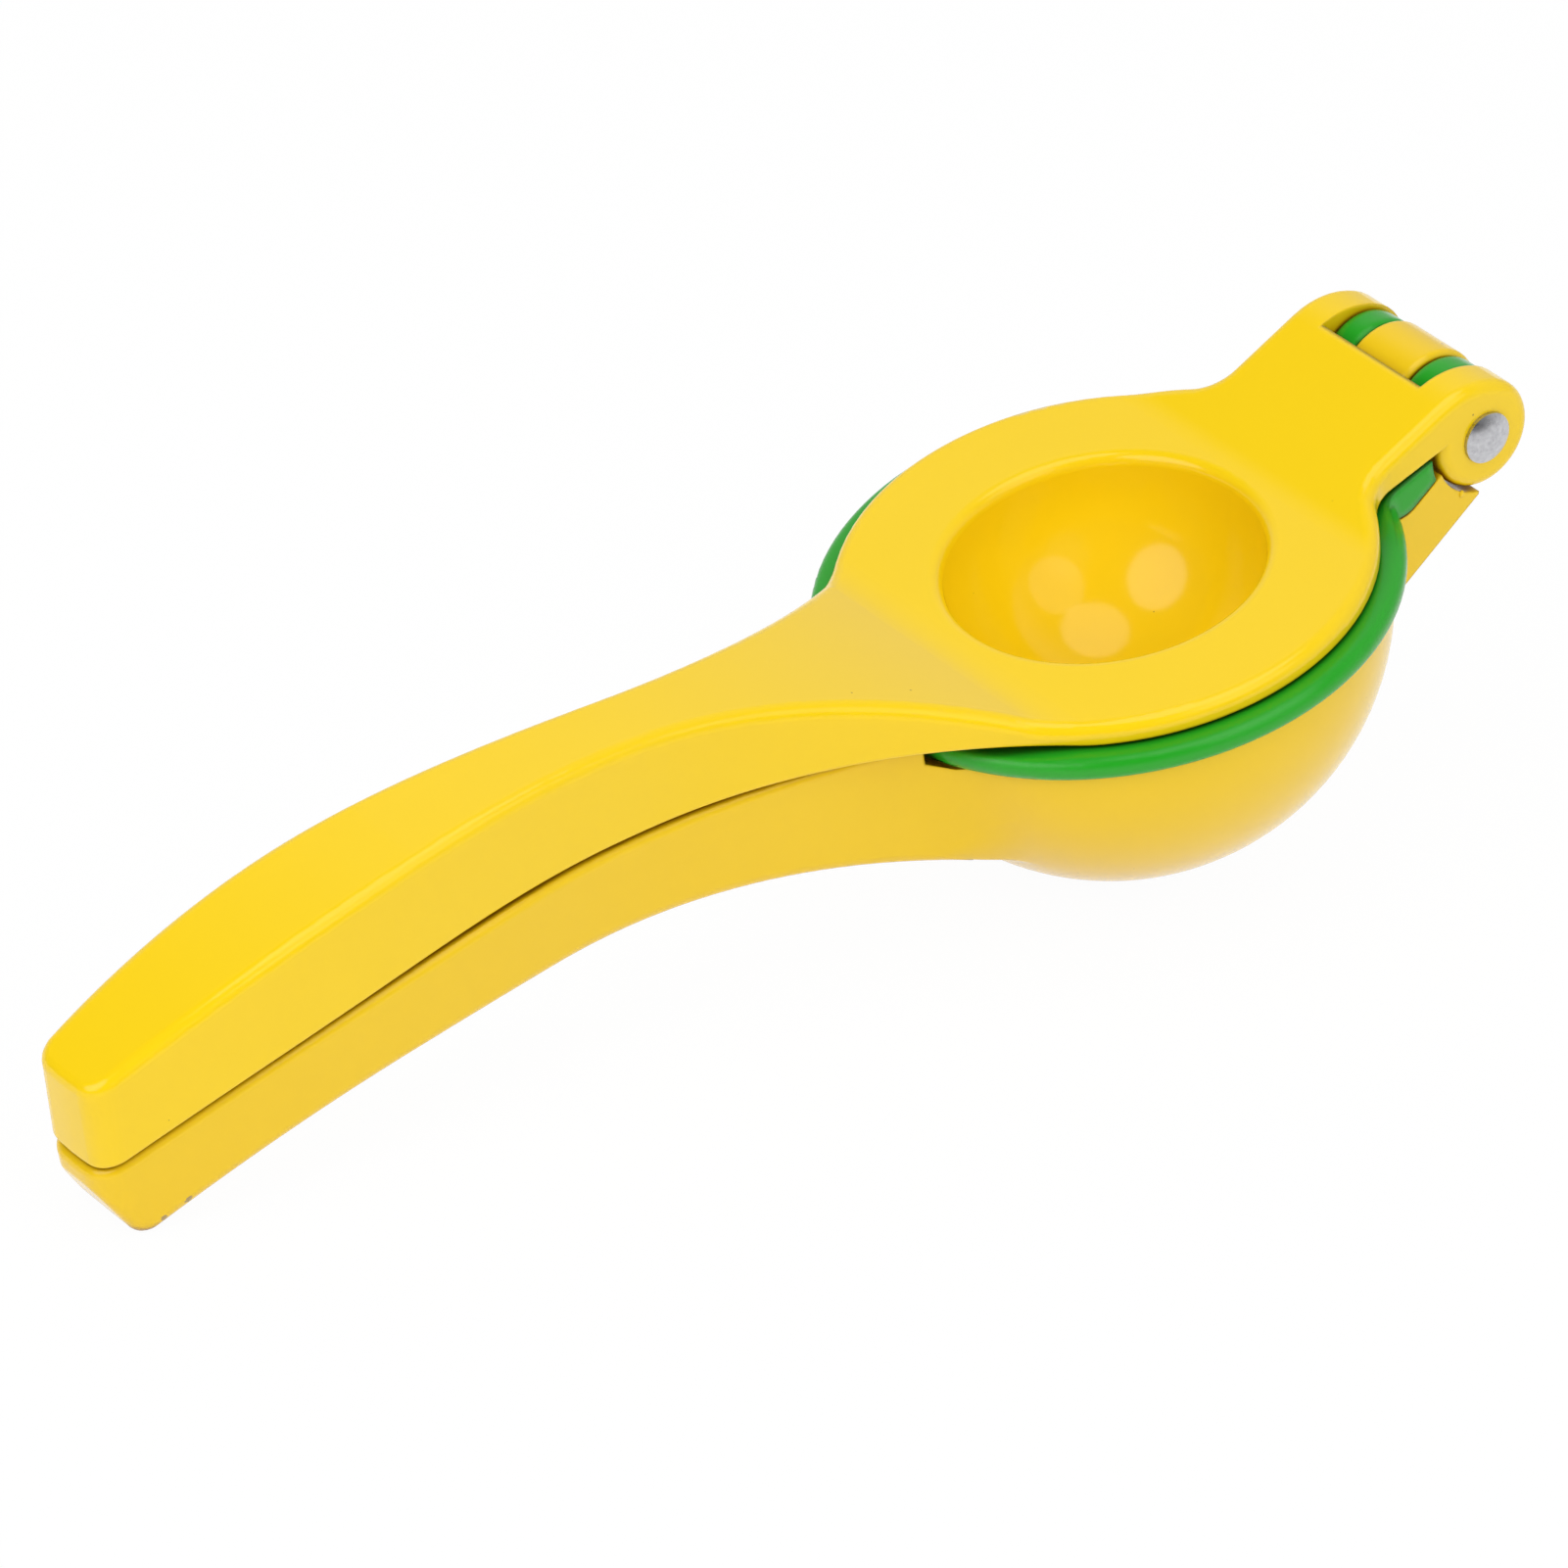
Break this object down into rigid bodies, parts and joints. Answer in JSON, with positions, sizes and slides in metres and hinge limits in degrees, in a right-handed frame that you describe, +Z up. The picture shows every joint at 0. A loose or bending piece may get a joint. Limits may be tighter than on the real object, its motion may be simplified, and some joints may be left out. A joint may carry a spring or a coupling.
{
  "type": "lemon squeezer",
  "caption": "Hinged citrus squeezer with two long handles: a domed press over a green lime cup nested in a larger slotted lemon cup, on a riveted hinge.",
  "frame": {"origin": "centre of the bounding box in plan, on the surface the closed squeezer lies on", "axes": "+X runs from the handles' tips towards the hinge, +Y is along the hinge rivet, +Z is up"},
  "size_m": [0.2212, 0.0784, 0.0608],
  "materials": {
    "press_enamel": "gloss yellow enamel on cast aluminium",
    "lime_enamel": "gloss green enamel on cast aluminium",
    "lemon_enamel": "gloss yellow enamel on cast aluminium",
    "rivet_steel": "satin steel, lightly mottled"
  },
  "bodies": {
    "lemon_cup_body": {"lemon_cup_handle": "lemon_enamel"},
    "press_body": {"press_handle": "press_enamel", "hinge_rivet": "rivet_steel"},
    "lime_cup_body": {"lime_cup": "lime_enamel"}
  },
  "joints": [
    {"name": "press_hinge", "type": "hinge", "parent": "lemon_cup_body", "child": "press_body", "pos_m": [0.10297, 0, 0.0528], "axis": [0, 1, 0], "range_deg": [0, 165]},
    {"name": "lime_cup_hinge", "type": "hinge", "parent": "lemon_cup_body", "child": "lime_cup_body", "pos_m": [0.10297, 0, 0.0528], "axis": [0, 1, 0], "range_deg": [0, 82.5]}
  ],
  "couplings": [
    {"joint": "lime_cup_hinge", "follows": "press_hinge", "ratio": 0.5}
  ]
}
